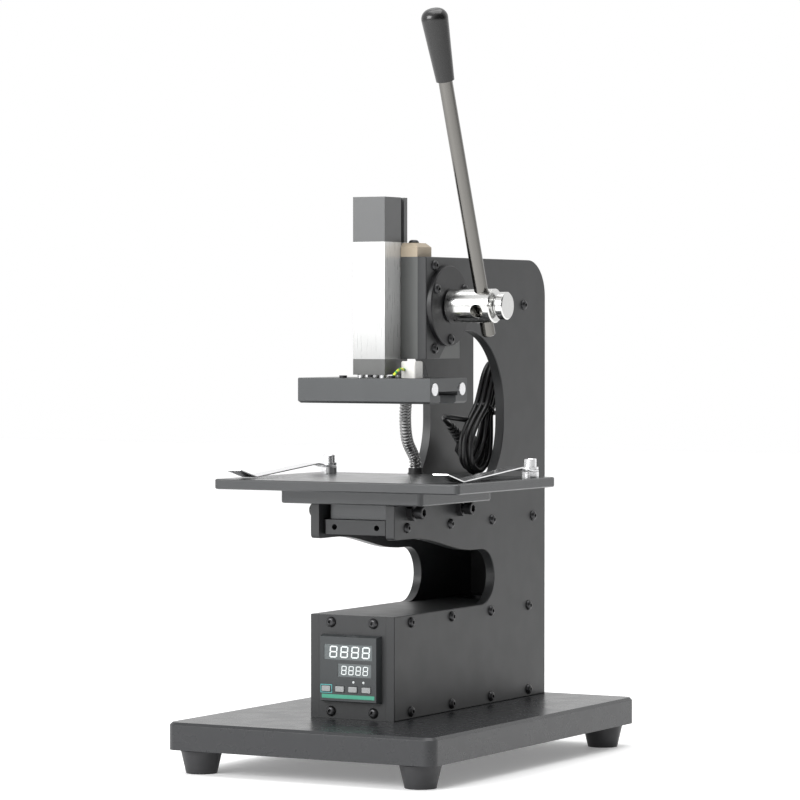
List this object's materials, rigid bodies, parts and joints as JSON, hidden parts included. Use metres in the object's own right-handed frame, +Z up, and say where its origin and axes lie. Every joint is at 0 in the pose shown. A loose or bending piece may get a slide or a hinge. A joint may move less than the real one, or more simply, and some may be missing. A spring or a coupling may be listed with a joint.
{
  "type": "tabletop hot foil stamping press",
  "caption": "Manual tabletop foil press with a lever-driven rack ram, heated plate, clamped table with spring clips and a digital temperature controller.",
  "frame": {"origin": "middle of the base on the plane that the four feet rest on", "axes": "+X to the right as seen from the front, +Y to the back, +Z up"},
  "size_m": [0.214, 0.32, 0.5373],
  "materials": {
    "black_anodised": "satin",
    "grey_anodised": "satin",
    "black_rubber": "matte",
    "black_oxide_steel": "satin",
    "polished_steel": "polished",
    "black_steel": "satin",
    "chrome": "polished",
    "spring_steel": "polished",
    "bearing_brass": "satin",
    "tan_plastic": "matte",
    "insulating_block": "matte",
    "ceramic": "gloss",
    "controller_plastic": "matte",
    "display_glass": "gloss",
    "button_plastic": "matte",
    "grip_plastic": "gloss",
    "black_plastic": "satin",
    "cord_pvc": "satin"
  },
  "bodies": {
    "frame": {"base_plate": "black_anodised", "rubber_feet": "black_rubber", "base_screws": "black_oxide_steel", "side_plate_left": "black_anodised", "side_plate_right": "black_anodised", "bottom_spacer": "black_anodised", "arm_spacer": "black_anodised", "table_spacer": "black_anodised", "column_spacer": "black_anodised", "front_cover": "black_anodised", "rear_cover": "black_anodised", "deck_cover": "black_anodised", "frame_screws": "black_oxide_steel", "clamp_bolts": "black_oxide_steel", "clamp_nuts": "black_oxide_steel", "guide_block": "grey_anodised", "ram_gibs": "bearing_brass", "wiper_plate": "tan_plastic", "bearing_ring_left": "black_anodised", "bearing_flange_right": "black_anodised", "shaft_bushes": "bearing_brass", "controller_body": "controller_plastic", "controller_bezel": "controller_plastic", "display_window": "display_glass", "conduit_gland": "black_plastic", "conduit": "chrome", "cable_gland": "black_plastic", "power_cord": "cord_pvc", "cord_hank": "cord_pvc", "cord_tail": "cord_pvc", "plug": "black_plastic", "plug_blades": "polished_steel"},
    "table": {"table_slide": "grey_anodised", "sub_plate": "grey_anodised", "table_plate": "grey_anodised", "clip_bolts": "spring_steel", "clip_spacers": "spring_steel"},
    "left_clip": {"clip_left": "spring_steel"},
    "right_clip": {"clip_right": "spring_steel"},
    "ram": {"ram": "polished_steel", "ram_top": "black_steel", "rack": "polished_steel", "ram_foot": "insulating_block", "foot_screws": "black_oxide_steel", "heater_standoffs": "polished_steel", "heater_plate": "grey_anodised", "cartridge_heaters": "polished_steel", "terminal_block": "ceramic", "plate_screws": "black_oxide_steel", "conduit_ferrule": "chrome"},
    "lever": {"pinion": "black_oxide_steel", "pinion_shaft": "polished_steel", "lever_hub": "chrome", "lever_rod": "polished_steel", "lever_grip": "grip_plastic"},
    "knob": {"hub_knob": "chrome"},
    "set_button": {"button_set": "button_plastic"},
    "shift_button": {"button_shift": "button_plastic"},
    "down_button": {"button_down": "button_plastic"},
    "up_button": {"button_up": "button_plastic"}
  },
  "joints": [
    {"name": "ram_slide", "type": "slide", "parent": "frame", "child": "ram", "axis": [0, 0, 1], "range_m": [-0.03298, 0], "deforming": ["conduit"]},
    {"name": "lever_turn", "type": "hinge", "parent": "frame", "child": "lever", "pos_m": [0, -0.006, 0.3295], "axis": [1, 0, 0], "range_deg": [0, 90]},
    {"name": "table_slide_y", "type": "slide", "parent": "frame", "child": "table", "axis": [0, 1, 0], "range_m": [-0.03, 0]},
    {"name": "clip_left_turn", "type": "hinge", "parent": "table", "child": "left_clip", "pos_m": [-0.084, 0.03, 0.2107], "axis": [0, 0, 1], "range_deg": [0, 30]},
    {"name": "clip_right_turn", "type": "hinge", "parent": "table", "child": "right_clip", "pos_m": [0.084, 0.03, 0.2107], "axis": [0, 0, 1], "range_deg": [-30, 0]},
    {"name": "knob_turn", "type": "hinge", "parent": "lever", "child": "knob", "pos_m": [0, -0.006, 0.3295], "axis": [1, 0, 0], "range_deg": [0, 180]},
    {"name": "set_button_press", "type": "slide", "parent": "frame", "child": "set_button", "axis": [0, 1, 0], "range_m": [0, 0.0005], "stiffness_N_per_m": 400},
    {"name": "shift_button_press", "type": "slide", "parent": "frame", "child": "shift_button", "axis": [0, 1, 0], "range_m": [0, 0.0005], "stiffness_N_per_m": 400},
    {"name": "down_button_press", "type": "slide", "parent": "frame", "child": "down_button", "axis": [0, 1, 0], "range_m": [0, 0.0005], "stiffness_N_per_m": 400},
    {"name": "up_button_press", "type": "slide", "parent": "frame", "child": "up_button", "axis": [0, 1, 0], "range_m": [0, 0.0005], "stiffness_N_per_m": 400}
  ],
  "couplings": [
    {"joint": "lever_turn", "follows": "ram_slide", "rad_per_m": -47.619}
  ]
}
